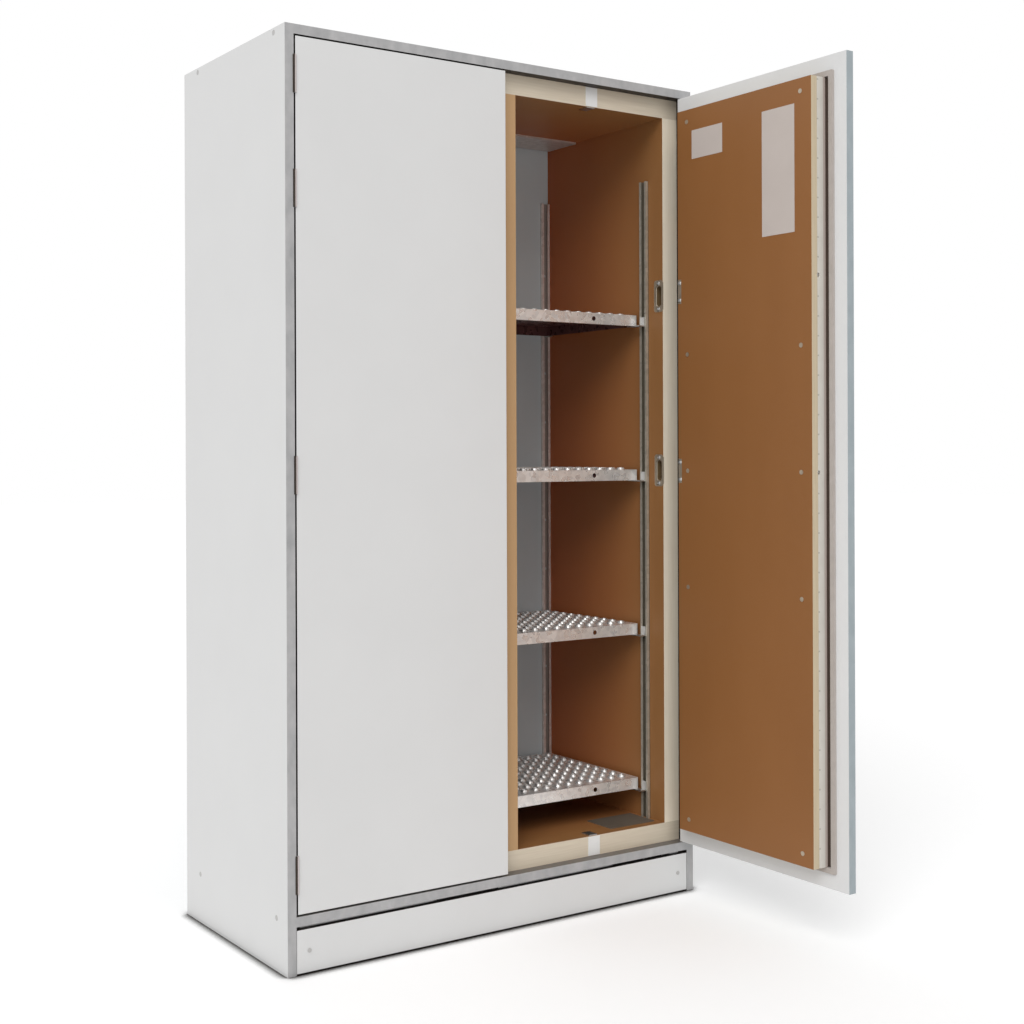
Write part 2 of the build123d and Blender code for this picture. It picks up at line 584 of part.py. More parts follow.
def lock_cavities():
    """Milled spaces of the right core for its bolts, lock case, spindle and cylinder."""
    bolt_rooms = []
    for z in BOLT_HEIGHTS:
        bolt_rooms.append(rod_x(CORE_IN - 1, BAR_X + 24, BOLT_Y, z, BOLT_RADIUS + EASE))
    bar_low, bar_high = LOCK_HEIGHT - BAR_END - 2, LOCK_HEIGHT + UPPER_BOLT + BAR_END + 2
    bar_room = board(BAR_X - BOLT_THROW - 2, BAR_X + BAR_WIDE + 2, BAR_Y - 1, BAR_Y + BAR_THICK + 1,
                     bar_low, bar_high)
    rack_room = board(BAR_X - BOLT_THROW - 2, CASE_X0, BAR_Y - 1, CORE_MID + 8,
                      RACK_LOW - 2, RACK_LOW + RACK_TALL + 2)
    case_room = board(CASE_X0 - 0.5, CASE_X1 + 0.5, CORE_MID - CASE_HALF - 0.5,
                      CORE_MID + CASE_HALF + 0.5, CASE_LOW - 0.5, CASE_HIGH + 0.5)
    spindle = rod_y(SPINDLE_X, CORE_FACE - 1, CORE_MID, LOCK_HEIGHT, NECK_RADIUS + 1)
    drop = LOCK_HEIGHT - CYLINDER_DROP
    cylinder = rod_y(SPINDLE_X, CORE_FACE - 1, CORE_FACE + 14, drop, CYLINDER_RADIUS + EASE)
    cam = rod_y(SPINDLE_X, CORE_FACE + 12, CORE_FACE + 26, drop, 16)
    return bolt_rooms + [bar_room, rack_room, case_room, spindle, cylinder, cam]


def edge_strip(side):
    """Intumescent strip let into the free edge of the core, bored for the bolts."""
    strip = board(side * CORE_IN, side * (CORE_IN + STRIP_THICK),
                  CORE_FACE + EASE, CORE_FACE + STRIP_WIDE, CORE_LOW, CORE_HIGH)
    if side > 0:
        for z in BOLT_HEIGHTS:
            strip -= rod_x(CORE_IN - 1, CORE_IN + STRIP_THICK + 1, BOLT_Y, z, BOLT_RADIUS + EASE)
    return strip


def door_seal(side):
    """Seal ring on the inner rim of the leaf, mitred into one frame."""
    mid_x = side * (LEAF_IN + LEAF_OUT) / 2
    wide, tall = LEAF_OUT - LEAF_IN - 2 * SEAL_OFFSET, DOOR_HIGH - DOOR_LOW - 2 * SEAL_OFFSET
    ring = Plane.XZ * (RectangleRounded(wide, tall, 3)
                       - Rectangle(wide - 2 * SEAL_WIDTH, tall - 2 * SEAL_WIDTH))
    return Pos(mid_x, CORE_FACE + SEAL_THICK, DOOR_MID) * extrude(ring, SEAL_THICK)


def side_hook(side, z):
    """Fixed hook on the hinge-side edge of the core, on a let-in base plate."""
    x0 = side * CORE_OUT
    base = slab_x(x0, side * (CORE_OUT - HOOK_SHEET), CORE_MID, z, HOOK_PLATE, HOOK_PLATE_TALL, 4)
    base += hook_wrap(side, z, 0)
    horn = board(side * (CORE_OUT - 1), side * (CORE_OUT + HOOK_REACH),
                 CORE_MID - HOOK_DEEP / 2, CORE_MID + HOOK_DEEP / 2,
                 z - HOOK_TALL / 2, z + HOOK_TALL / 2)
    tip = horn.edges().filter_by(Axis.Y).sort_by(lambda e: side * e.center().X)[-2:]
    return base + fillet(tip, 5)


def magnet_catch(z):
    """Magnet block on the inner rim of the left leaf, over its steel plate on the post."""
    block = board(MAGNET_X0, MAGNET_X1, CORE_FACE, CORE_FACE + SEAL_THICK,
                  z - MAGNET_TALL / 2, z + MAGNET_TALL / 2)
    return chamfer(block.edges().group_by(Axis.Y)[-1], 1)


for word, side in SIDES.items():
    save_on_door(side, f"door_{word}_leaf", door_leaf(side))
    save_on_door(side, f"door_{word}_core", door_core(side))
    save_on_door(side, f"door_{word}_strip", edge_strip(side))
    save_on_door(side, f"door_{word}_seal", door_seal(side))
    save_on_door(side, f"door_{word}_hooks", *[side_hook(side, z) for z in BOLT_HEIGHTS])
    save(f"hinges_{word}_cabinet", *[hinge_fixed(side, z) for z in HINGE_HEIGHTS])
    save_on_door(side, f"hinges_{word}_door", *[hinge_moving(side, z) for z in HINGE_HEIGHTS])
    screws = [screw_y(x, CORE_BACK - 0.4, z, CORE_SCREW_HEAD, CORE_SCREW_SHANK, CORE_SCREW)
              for x, z in core_screw_places(side)]
    save_on_door(side, f"door_{word}_screws", *screws)
save_on_door(-1, "magnet_catches", *[magnet_catch(z) for z in MAGNET_HEIGHTS])

# ---- lock of the right door ----
bolts = board(BAR_X, BAR_X + BAR_WIDE, BAR_Y, BAR_Y + BAR_THICK, LOCK_HEIGHT - BAR_END,
              LOCK_HEIGHT + UPPER_BOLT + BAR_END)
bolts += board(BAR_X, SPINDLE_X + 33, BAR_Y, CORE_MID + 7, RACK_LOW, RACK_LOW + RACK_TALL)
for z in BOLT_HEIGHTS:
    pin = rod_x(CORE_IN + 1, BAR_X + 2, BOLT_Y, z, BOLT_RADIUS)
    bolts += chamfer(pin.edges().filter_by(GeomType.CIRCLE).sort_by(Axis.X)[:1], 1.5)
save_on_door(1, "lock_bolts", bolts)

near, far = CORE_MID - CASE_HALF, CORE_MID + CASE_HALF
case = board(CASE_X0, CASE_X1, near, near + CASE_SHEET, CASE_LOW, CASE_HIGH)
case += board(CASE_X0, CASE_X1, far - CASE_SHEET, far, CASE_LOW, CASE_HIGH)
case -= rod_y(SPINDLE_X, near - 1, far + 1, LOCK_HEIGHT, SPINDLE_RADIUS + RUN)
for x in (CASE_X0 + 46, CASE_X1 - 5):
    for z in (CASE_LOW + 3, CASE_HIGH - 3):
        case += rod_y(x, near + 1, far - 1, z, CASE_STUD)
save_on_door(1, "lock_case", case)

plate_mid = LOCK_HEIGHT - CYLINDER_DROP / 2
escutcheon = slab_y(FRONT - ESCUTCHEON_THICK, FRONT, SPINDLE_X, plate_mid,
                    ESCUTCHEON_WIDE, ESCUTCHEON_TALL, 20)
front_edges = escutcheon.edges().group_by(Axis.Y)[0]
escutcheon = fillet(front_edges, 2)
escutcheon -= rod_y(SPINDLE_X, FRONT - 20, FRONT + 1, LOCK_HEIGHT, NECK_RADIUS + RUN)
escutcheon -= rod_y(SPINDLE_X, FRONT - 20, FRONT + 1, LOCK_HEIGHT - CYLINDER_DROP,
                    CYLINDER_RADIUS + EASE)
save_on_door(1, "handle_plate", escutcheon)

LEVER_STAND = 48.0
LEVER_LENGTH = 130.0
LEVER_RADIUS = 9.0
lever_y = FRONT - ESCUTCHEON_THICK - LEVER_STAND + LEVER_RADIUS
neck = rod_y(SPINDLE_X, lever_y, FRONT + 6, LOCK_HEIGHT, NECK_RADIUS)
neck += Pos(SPINDLE_X, lever_y, LOCK_HEIGHT) * Sphere(LEVER_RADIUS)
grip = rod_x(SPINDLE_X, SPINDLE_X + LEVER_LENGTH, lever_y, LOCK_HEIGHT, LEVER_RADIUS)
grip += Pos(SPINDLE_X + LEVER_LENGTH, lever_y, LOCK_HEIGHT) * Sphere(LEVER_RADIUS)
spindle = rod_y(SPINDLE_X, FRONT, CORE_MID + 10, LOCK_HEIGHT, SPINDLE_RADIUS)
pinion = rod_y(SPINDLE_X, BAR_Y + BAR_THICK + 0.6, CORE_MID + 7, LOCK_HEIGHT, PINION_RADIUS)
save_on_door(1, "handle", neck + grip + spindle + pinion)

drop = LOCK_HEIGHT - CYLINDER_DROP
barrel = rod_y(SPINDLE_X, FRONT - 11, CORE_FACE + 12, drop, CYLINDER_RADIUS)
barrel -= rod_y(SPINDLE_X, FRONT - 12, CORE_FACE + 13, drop, PLUG_RADIUS + RUN)
save_on_door(1, "lock_cylinder", barrel)
plug = rod_y(SPINDLE_X, FRONT - 11.5, CORE_FACE + 14, drop, PLUG_RADIUS)
plug -= Pos(SPINDLE_X, FRONT - 11, drop) * Box(2, 12, 8)
plug += board(SPINDLE_X - 3, SPINDLE_X + 3, CORE_FACE + 14, CORE_FACE + 20, drop - 3, drop + 13)
save_on_door(1, "cylinder_plug", plug)
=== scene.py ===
import bpy
import json
import math
from mathutils import Euler, Matrix, Vector


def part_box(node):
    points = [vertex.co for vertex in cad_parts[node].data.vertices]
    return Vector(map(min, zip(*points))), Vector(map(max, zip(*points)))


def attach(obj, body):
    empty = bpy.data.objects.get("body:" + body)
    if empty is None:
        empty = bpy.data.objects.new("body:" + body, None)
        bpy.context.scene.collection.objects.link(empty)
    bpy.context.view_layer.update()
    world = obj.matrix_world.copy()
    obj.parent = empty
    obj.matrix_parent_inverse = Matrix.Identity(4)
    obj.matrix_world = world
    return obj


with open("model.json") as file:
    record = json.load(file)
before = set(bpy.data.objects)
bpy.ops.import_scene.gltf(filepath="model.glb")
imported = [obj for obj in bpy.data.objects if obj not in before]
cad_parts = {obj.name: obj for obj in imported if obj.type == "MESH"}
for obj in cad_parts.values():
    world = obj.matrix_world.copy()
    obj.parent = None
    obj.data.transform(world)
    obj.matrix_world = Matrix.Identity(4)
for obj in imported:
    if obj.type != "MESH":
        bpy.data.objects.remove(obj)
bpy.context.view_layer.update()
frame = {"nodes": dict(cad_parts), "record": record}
nodes = frame["nodes"]

# ---- Outer carcass boards -------------------------------------------------------------
# The sides, roof, floor, back and plinth are chipboard with a light grey melamine skin.
# They are sawn to size, screwed through the sides, and their raw edges get a glued grey band.


def new_group(name, inputs, outputs):
    """Starts a shader node group and returns it with its in and out nodes."""
    group = bpy.data.node_groups.new(name, "ShaderNodeTree")
    for title, kind in inputs:
        group.interface.new_socket(name=title, in_out="INPUT", socket_type=kind)
    for title, kind in outputs:
        group.interface.new_socket(name=title, in_out="OUTPUT", socket_type=kind)
    return group, group.nodes.new("NodeGroupInput"), group.nodes.new("NodeGroupOutput")


def math_node(tree, operation, first, second=None, clamp=False):
    """Adds a Math node whose inputs are sockets or numbers."""
    node = tree.nodes.new("ShaderNodeMath")
    node.operation = operation
    node.use_clamp = clamp
    for socket, value in zip(node.inputs, (first, second)):
        if value is None:
            continue
        if hasattr(value, "is_output"):
            tree.links.new(value, socket)
        else:
            socket.default_value = value
    return node.outputs[0]


# Broad Face: 1 on the broad faces of a board, 0 on its edges, from the board's thickness axis.
broad_face, start, end = new_group(
    "Broad Face", [("Axis", "NodeSocketVector")], [("Mask", "NodeSocketFloat")])
place = broad_face.nodes.new("ShaderNodeTexCoord")
along = broad_face.nodes.new("ShaderNodeVectorMath")
along.operation = "DOT_PRODUCT"
broad_face.links.new(place.outputs["Normal"], along.inputs[0])
broad_face.links.new(start.outputs["Axis"], along.inputs[1])
size = math_node(broad_face, "ABSOLUTE", along.outputs["Value"])
broad_face.links.new(math_node(broad_face, "GREATER_THAN", size, 0.5), end.inputs["Mask"])

# Facing: 1 on the faces that look along a direction, 0 on all others.
facing, start, end = new_group(
    "Facing", [("Direction", "NodeSocketVector")], [("Mask", "NodeSocketFloat")])
place = facing.nodes.new("ShaderNodeTexCoord")
along = facing.nodes.new("ShaderNodeVectorMath")
along.operation = "DOT_PRODUCT"
facing.links.new(place.outputs["Normal"], along.inputs[0])
facing.links.new(start.outputs["Direction"], along.inputs[1])
facing.links.new(math_node(facing, "GREATER_THAN", along.outputs["Value"], 0.5),
                 end.inputs["Mask"])

# Beyond: rises from 0 to 1 over a short way past a plane, given by its direction and place.
beyond, start, end = new_group(
    "Beyond", [("Direction", "NodeSocketVector"), ("Place", "NodeSocketFloat"),
               ("Fade", "NodeSocketFloat")], [("Mask", "NodeSocketFloat")])
place = beyond.nodes.new("ShaderNodeTexCoord")
along = beyond.nodes.new("ShaderNodeVectorMath")
along.operation = "DOT_PRODUCT"
beyond.links.new(place.outputs["Object"], along.inputs[0])
beyond.links.new(start.outputs["Direction"], along.inputs[1])
past = math_node(beyond, "SUBTRACT", along.outputs["Value"], start.outputs["Place"])
beyond.links.new(math_node(beyond, "DIVIDE", past, start.outputs["Fade"], clamp=True),
                 end.inputs["Mask"])

# Mottle: soft cloudy variation and fine grain, each from 0 to 1, at a given size.
mottle, start, end = new_group(
    "Mottle", [("Scale", "NodeSocketFloat"), ("Stretch", "NodeSocketVector")],
    [("Cloud", "NodeSocketFloat"), ("Grain", "NodeSocketFloat")])
place = mottle.nodes.new("ShaderNodeTexCoord")
stretch = mottle.nodes.new("ShaderNodeVectorMath")
stretch.operation = "MULTIPLY"
mottle.links.new(place.outputs["Object"], stretch.inputs[0])
mottle.links.new(start.outputs["Stretch"], stretch.inputs[1])
for title, factor, detail in (("Cloud", 1.0, 4.0), ("Grain", 24.0, 2.0)):
    noise = mottle.nodes.new("ShaderNodeTexNoise")
    noise.inputs["Detail"].default_value = detail
    mottle.links.new(stretch.outputs["Vector"], noise.inputs["Vector"])
    mottle.links.new(math_node(mottle, "MULTIPLY", start.outputs["Scale"], factor),
                     noise.inputs["Scale"])
    mottle.links.new(noise.outputs["Fac"], end.inputs[title])


def new_material(name, metal=0.0, rough=0.5, specular=0.5):
    """A material with a Principled shader, its tree and that shader."""
    material = bpy.data.materials.new(name)
    material.use_nodes = True
    shader = material.node_tree.nodes["Principled BSDF"]
    shader.inputs["Metallic"].default_value = metal
    shader.inputs["Roughness"].default_value = rough
    shader.inputs["Specular IOR Level"].default_value = specular
    return material, material.node_tree, shader


def use_group(tree, group, **values):
    """Adds a node group to a material and sets its inputs."""
    node = tree.nodes.new("ShaderNodeGroup")
    node.node_tree = group
    for title, value in values.items():
        node.inputs[title].default_value = value
    return node


def blend_colour(tree, factor, first, second):
    """Mixes two colours, each a socket or three numbers."""
    node = tree.nodes.new("ShaderNodeMix")
    node.data_type = "RGBA"
    for socket, value in ((node.inputs[0], factor), (node.inputs[6], first), (node.inputs[7], second)):
        if hasattr(value, "is_output"):
            tree.links.new(value, socket)
        elif isinstance(value, float):
            socket.default_value = value
        else:
            socket.default_value = (*value, 1.0)
    return node.outputs[2]


def add_bump(tree, shader, height, strength, distance):
    """Gives a shader a bump from a height socket."""
    bump = tree.nodes.new("ShaderNodeBump")
    bump.inputs["Strength"].default_value = strength
    bump.inputs["Distance"].default_value = distance
    tree.links.new(height, bump.inputs["Height"])
    tree.links.new(bump.outputs["Normal"], shader.inputs["Normal"])


def set_rough(tree, shader, source, low, high):
    """Roughness that follows a 0 to 1 socket between two values."""
    node = tree.nodes.new("ShaderNodeMapRange")
    node.inputs["To Min"].default_value = low
    node.inputs["To Max"].default_value = high
    tree.links.new(source, node.inputs["Value"])
    tree.links.new(node.outputs["Result"], shader.inputs["Roughness"])


BAND_GREY = ((0.28, 0.285, 0.29), (0.52, 0.51, 0.51))
LEAF_BAND = ((0.27, 0.315, 0.335), (0.39, 0.44, 0.46))
SKIN_GREY = ((0.675, 0.675, 0.672), (0.715, 0.715, 0.712))
LEAF_SKIN = ((0.715, 0.717, 0.718), (0.755, 0.757, 0.758))
BACK_GREY = ((0.56, 0.61, 0.63), (0.60, 0.65, 0.67))


def melamine(name, axis, skin_grey=SKIN_GREY, band_grey=BAND_GREY, dark_side=None, dark=None):
    """Pebbled melamine on the broad faces, mottled band on the edges, one side may be dark."""
    material, tree, shader = new_material(name, specular=0.4)
    broad = use_group(tree, broad_face, Axis=axis)
    skin = use_group(tree, mottle, Scale=6.0, Stretch=(1, 1, 1))
    face = blend_colour(tree, skin.outputs["Cloud"], *skin_grey)
    speck = use_group(tree, mottle, Scale=38.0, Stretch=(1, 1, 0.6))
    band = blend_colour(tree, speck.outputs["Cloud"], *band_grey)
    colour = blend_colour(tree, broad.outputs["Mask"], band, face)
    if dark_side:
        shaded = use_group(tree, facing, Direction=dark_side)
        colour = blend_colour(tree, shaded.outputs["Mask"], colour, dark)
    tree.links.new(colour, shader.inputs["Base Color"])
    set_rough(tree, shader, skin.outputs["Cloud"], 0.42, 0.56)
    add_bump(tree, shader, skin.outputs["Grain"], 0.25, 0.0003)
    return material


def dress(material, *names):
    """Puts one material in every slot of these CAD nodes."""
    for name in names:
        for slot in nodes[name].material_slots:
            slot.material = material


# The faces that look into the door gaps are painted near-black as painted shade; the floor board's top
# face is a darker grey.
GAP_SHADE = (0.012, 0.007, 0.005)
sideways, forwards, upwards = (1, 0, 0), (0, 1, 0), (0, 0, 1)
dress(melamine("melamine left side", sideways, dark_side=(1, 0, 0), dark=GAP_SHADE),
      "side_panel_left")
dress(melamine("melamine right side", sideways, dark_side=(-1, 0, 0), dark=GAP_SHADE),
      "side_panel_right")
dress(melamine("melamine roof", upwards, dark_side=(0, 0, -1), dark=GAP_SHADE), "top_panel")
dress(melamine("melamine floor", upwards, dark_side=(0, 0, 1), dark=(0.17, 0.155, 0.14)),
      "bottom_panel")
dress(melamine("melamine plinth", forwards, dark_side=(0, 0, 1), dark=GAP_SHADE), "plinth_cover",
      "plinth_blocks")
dress(melamine("melamine back", forwards, skin_grey=BACK_GREY), "back_panel")
dress(melamine("melamine bearer", sideways), "base_bearer")
dress(melamine("melamine left door", forwards, band_grey=LEAF_BAND, dark_side=(-1, 0, 0),
               dark=GAP_SHADE), "door_left_leaf")
dress(melamine("melamine right door", sideways, skin_grey=LEAF_SKIN, band_grey=LEAF_BAND,
               dark_side=(0, 1, 0), dark=GAP_SHADE), "door_right_leaf")

# ---- Fire lining, centre post and door cores ------------------------------------------
# Thick mineral fire-protection boards with a pressed brown phenolic film on both faces.
# Their sawn edges stay raw: cream, layered and dusty, and are glued and screwed in place.


SAWN_CREAM = ((0.60, 0.51, 0.39), (0.76, 0.68, 0.55))
# The linings' sawn edges get a paler cream, painted light that makes up for the open door's shade.
LIT_EDGE_CREAM = ((0.86, 0.75, 0.58), (0.97, 0.89, 0.75))
CORE_CREAM = ((0.50, 0.41, 0.275), (0.64, 0.54, 0.385))
lining_low, lining_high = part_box("lining_right")


def fire_board(name, axis, front, rear=None, cream=SAWN_CREAM, post=False, pocket_side=0):
    """Brown film with fine scratches on the faces, layered cream on the sawn edges."""
    material, tree, shader = new_material(name, specular=0.35)
    broad = use_group(tree, broad_face, Axis=axis)
    film = use_group(tree, mottle, Scale=5.0, Stretch=(1, 1, 0.3))
    face = blend_colour(tree, film.outputs["Cloud"], *front)
    # Towards the back the film is painted darker and redder, as painted shade.
    if rear:
        depth = use_group(tree, beyond, Direction=(0, 1, 0), Place=lining_low[1] + 0.05,
                          Fade=lining_high[1] - lining_low[1] - 0.05)
        deep_shade = blend_colour(tree, film.outputs["Cloud"], *rear)
        face = blend_colour(tree, depth.outputs["Mask"], face, deep_shade)
    spots = use_group(tree, mottle, Scale=22.0, Stretch=(1, 1, 1))
    face = blend_colour(tree, math_node(tree, "MULTIPLY", spots.outputs["Grain"], 0.15), face,
                        (0.30, 0.20, 0.12))
    layers = use_group(tree, mottle, Scale=30.0, Stretch=tuple(8.0 if a else 0.25 for a in axis))
    edge = blend_colour(tree, layers.outputs["Cloud"], *cream)
    colour = face if post else blend_colour(tree, broad.outputs["Mask"], edge, face)
    # The walls of the hook pockets cut into the board are painted dark brown, as painted shade in the
    # recess.
    if pocket_side:
        inside = use_group(tree, beyond, Direction=(pocket_side, 0, 0), Fade=0.001,
                           Place=lining_low[0] + 0.003)
        behind = use_group(tree, beyond, Direction=(0, 1, 0), Fade=0.001,
                           Place=lining_low[1] + 0.002)
        pocket = math_node(tree, "MULTIPLY", inside.outputs["Mask"], behind.outputs["Mask"])
        colour = blend_colour(tree, pocket, colour, (0.17, 0.112, 0.055))
    tree.links.new(colour, shader.inputs["Base Color"])
    set_rough(tree, shader, film.outputs["Cloud"], 0.38, 0.55)
    add_bump(tree, shader, spots.outputs["Grain"], 0.3, 0.0004)
    return material


wall_brown = ((0.29, 0.122, 0.036), (0.34, 0.156, 0.050))
# The rear colour is the film painted darker and redder, as painted shade.
rear_shade_brown = ((0.40, 0.088, 0.018), (0.46, 0.112, 0.026))
door_brown = ((0.25, 0.096, 0.023), (0.31, 0.126, 0.035))
post_brown = ((0.48, 0.290, 0.142), (0.57, 0.355, 0.176))
dress(fire_board("fire board left", sideways, wall_brown, rear_shade_brown, LIT_EDGE_CREAM,
                 pocket_side=-1), "lining_left")
dress(fire_board("fire board right", sideways, wall_brown, rear_shade_brown, LIT_EDGE_CREAM,
                 pocket_side=1), "lining_right")
dress(fire_board("fire board lying level", upwards, wall_brown, rear_shade_brown), "lining_top",
      "lining_bottom")
dress(fire_board("fire board of the post", forwards, post_brown, post=True), "centre_post")
dress(fire_board("fire board of the left door", forwards, door_brown, cream=CORE_CREAM),
      "door_left_core")
dress(fire_board("fire board of the right door", sideways, door_brown, cream=CORE_CREAM),
      "door_right_core")

# ---- Seals, edge strips and glides ----------------------------------------------------
# Soft foamed seals glued round the leaves, pale expanding strips let into the core edges,
# and white plastic glides on which the doors run up. Extruded or moulded, then stuck on.


def plain_stuff(name, dark, light, scale, rough, bump, metal=0.0, stretch=(1, 1, 1), specular=0.5):
    """One stuff with cloudy colour, uneven gloss and a fine surface."""
    material, tree, shader = new_material(name, metal=metal, specular=specular)
    cloud = use_group(tree, mottle, Scale=scale, Stretch=stretch)
    colour = blend_colour(tree, cloud.outputs["Cloud"], dark, light)
    tree.links.new(colour, shader.inputs["Base Color"])
    set_rough(tree, shader, cloud.outputs["Cloud"], rough[0], rough[1])
    add_bump(tree, shader, cloud.outputs["Grain"], bump, 0.0003)
    return material


def coloured(material):
    """A material's tree, its shader and the colour that feeds it."""
    tree = material.node_tree
    shader = tree.nodes["Principled BSDF"]
    return tree, shader, shader.inputs["Base Color"].links[0].from_socket


seal_foam = plain_stuff("seal foam", (0.40, 0.36, 0.33), (0.50, 0.455, 0.425), 40.0,
                        (0.8, 0.95), 0.6)
pale_strip = plain_stuff("expanding strip", (0.59, 0.56, 0.50), (0.68, 0.65, 0.60), 30.0,
                         (0.6, 0.75), 0.4)
white_plastic = plain_stuff("white plastic", (0.78, 0.78, 0.77), (0.84, 0.84, 0.83), 18.0,
                            (0.3, 0.4), 0.2)
dress(seal_foam, "door_left_seal", "door_right_seal")
left_strip = pale_strip.copy()
left_strip.name = "expanding strip of the left door"
dress(left_strip, "door_left_strip")
dress(pale_strip, "door_right_strip")

# The right strip is painted greyish pink next to the leaf and near-black at the leaf, as painted shade,
# and small barbs mark its other edge.
strip_low, strip_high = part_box("door_right_strip")
tree, shader, plain = coloured(pale_strip)
near_leaf = use_group(tree, beyond, Direction=(1, 0, 0), Place=strip_high[0] - 0.011, Fade=0.001)
shaded_strip = blend_colour(tree, near_leaf.outputs["Mask"], plain, (0.51, 0.43, 0.385))
rebate_shade = use_group(tree, beyond, Direction=(1, 0, 0), Place=strip_high[0] - 0.0035, Fade=0.001)
shaded_strip = blend_colour(tree, rebate_shade.outputs["Mask"], shaded_strip, (0.11, 0.075, 0.055))
place = tree.nodes.new("ShaderNodeTexCoord")
axes = tree.nodes.new("ShaderNodeSeparateXYZ")
tree.links.new(place.outputs["Object"], axes.inputs["Vector"])
step = math_node(tree, "FRACT", math_node(tree, "DIVIDE", axes.outputs["Z"], 0.046))
barb = math_node(tree, "LESS_THAN", step, 0.08)
edge = math_node(tree, "LESS_THAN", axes.outputs["X"], strip_low[0] + 0.005)
barbs = math_node(tree, "MULTIPLY", math_node(tree, "MULTIPLY", barb, edge), 0.5)
tree.links.new(blend_colour(tree, barbs, shaded_strip, (0.26, 0.24, 0.19)), shader.inputs["Base Color"])
dress(white_plastic, "door_glides")

# A dark band fills the gap between core and seal along each door's free edge, a dark piece put there as
# painted shade in that groove.
groove_shade = plain_stuff("dark felt", (0.045, 0.029, 0.021), (0.075, 0.051, 0.038), 50.0,
                   (0.85, 0.95), 0.5)
core_box, seal_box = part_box("door_right_core"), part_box("door_right_seal")
left_core, left_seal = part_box("door_left_core"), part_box("door_left_seal")
SEAL_ACROSS = 0.013
GROOVE_SHADE_THICK = core_box[1][0] - strip_high[0]
groove_shade_bands = {
    "right": ((core_box[1][0] - GROOVE_SHADE_THICK, seal_box[0][1] + SEAL_ACROSS + 0.0005, core_box[0][2]),
              (core_box[1][0], core_box[0][1], core_box[1][2])),
    "left": ((left_core[1][0], left_core[0][1], left_core[0][2]),
             (left_seal[1][0] - SEAL_ACROSS - 0.0005, left_core[0][1] + GROOVE_SHADE_THICK, left_core[1][2]))}
for word, (low, high) in groove_shade_bands.items():
    low, high = Vector(low), Vector(high)
    bpy.ops.object.select_all(action="DESELECT")
    bpy.ops.mesh.primitive_cube_add(size=1, location=(low + high) / 2, scale=high - low)
    band = bpy.context.object
    band.name = f"door_{word}_felt"
    bpy.ops.object.transform_apply(location=True, rotation=True, scale=True)
    bpy.ops.object.mode_set(mode="EDIT")
    bpy.ops.mesh.select_all(action="SELECT")
    bpy.ops.mesh.bevel(offset=0.0008, segments=2, affect="EDGES")
    bpy.ops.object.mode_set(mode="OBJECT")
    band.data.materials.append(groove_shade)
    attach(band, f"door_{word}")

# ---- Steel fittings -------------------------------------------------------------------
# Hinges, hooks, plates and screws are zinc-plated steel; the lock cylinder is nickelled.
# They are stamped or turned, let in flush and screwed to the boards.


def off_centre(tree):
    """How far a point lies to either side of the cabinet's middle."""
    place = tree.nodes.new("ShaderNodeTexCoord")
    axes = tree.nodes.new("ShaderNodeSeparateXYZ")
    tree.links.new(place.outputs["Object"], axes.inputs["Vector"])
    return math_node(tree, "ABSOLUTE", axes.outputs["X"])


zinc = plain_stuff("zinc plated steel", (0.46, 0.46, 0.45), (0.62, 0.62, 0.61), 60.0,
                   (0.28, 0.45), 0.25, metal=1.0)
nickel = plain_stuff("nickelled brass", (0.60, 0.58, 0.54), (0.70, 0.68, 0.63), 80.0,
                     (0.18, 0.3), 0.15, metal=1.0)
dark_steel = plain_stuff("dark painted steel", (0.050, 0.046, 0.044), (0.075, 0.070, 0.067), 20.0,
                         (0.45, 0.6), 0.3)
black_plastic = plain_stuff("black plastic", (0.020, 0.020, 0.021), (0.032, 0.032, 0.034), 40.0,
                            (0.35, 0.5), 0.35)
# The hinge colour is near-black, painted shade of the gaps beside the knuckles.
shaded_hinge_steel = plain_stuff("hinge steel in painted shade", (0.018, 0.012, 0.007), (0.050, 0.034, 0.024), 60.0,
                     (0.50, 0.65), 0.25, metal=0.3)
brass_zinc = plain_stuff("yellow passivated steel", (0.46, 0.38, 0.29), (0.62, 0.54, 0.43), 60.0,
                         (0.35, 0.5), 0.25, metal=0.7)
dress(shaded_hinge_steel, *[name for name in nodes if name.startswith("hinges")])

# The hinge knuckles' outer half is painted near-black as painted shade of the gap beside them; the half
# beside the leaf is pale.
tree, shader, plain = coloured(shaded_hinge_steel)
swing = next(joint for joint in frame["record"]["behaviour"]["joints"]
             if joint["name"] == "left_door_swing")
SHADE_STOP = 0.0008     # how far past the pin the painted shade begins
pale_half = math_node(tree, "LESS_THAN", off_centre(tree), abs(swing["pos_m"][0]) + SHADE_STOP)
tree.links.new(blend_colour(tree, pale_half, plain, (0.60, 0.54, 0.53)), shader.inputs["Base Color"])
plate_zinc = plain_stuff("dull plated steel", (0.30, 0.24, 0.175), (0.44, 0.37, 0.285), 60.0,
                         (0.4, 0.55), 0.25, metal=0.5)
dress(plate_zinc, "door_left_hooks", "door_right_hooks", "hook_pockets")
dress(zinc, "strike_plates", "lock_bolts",
      "lock_case", "magnet_plates", "glide_plates", "levelling_feet", "foot_nuts", "shelf_clips")
dress(brass_zinc, "door_left_screws", "door_right_screws")
dress(plain_stuff("painted screw heads", (0.44, 0.43, 0.42), (0.52, 0.51, 0.50), 60.0,
                  (0.4, 0.5), 0.25), "case_screws", "plinth_screws")
dress(nickel, "lock_cylinder", "cylinder_plug")
dress(dark_steel, "magnet_catches")
dress(plain_stuff("worn floor plate", (0.105, 0.083, 0.062), (0.165, 0.135, 0.105), 16.0,
                  (0.45, 0.65), 0.4), "floor_plates")
dress(black_plastic, "handle", "handle_plate")

# Round-headed screws hold the hook plates and the pocket plates.


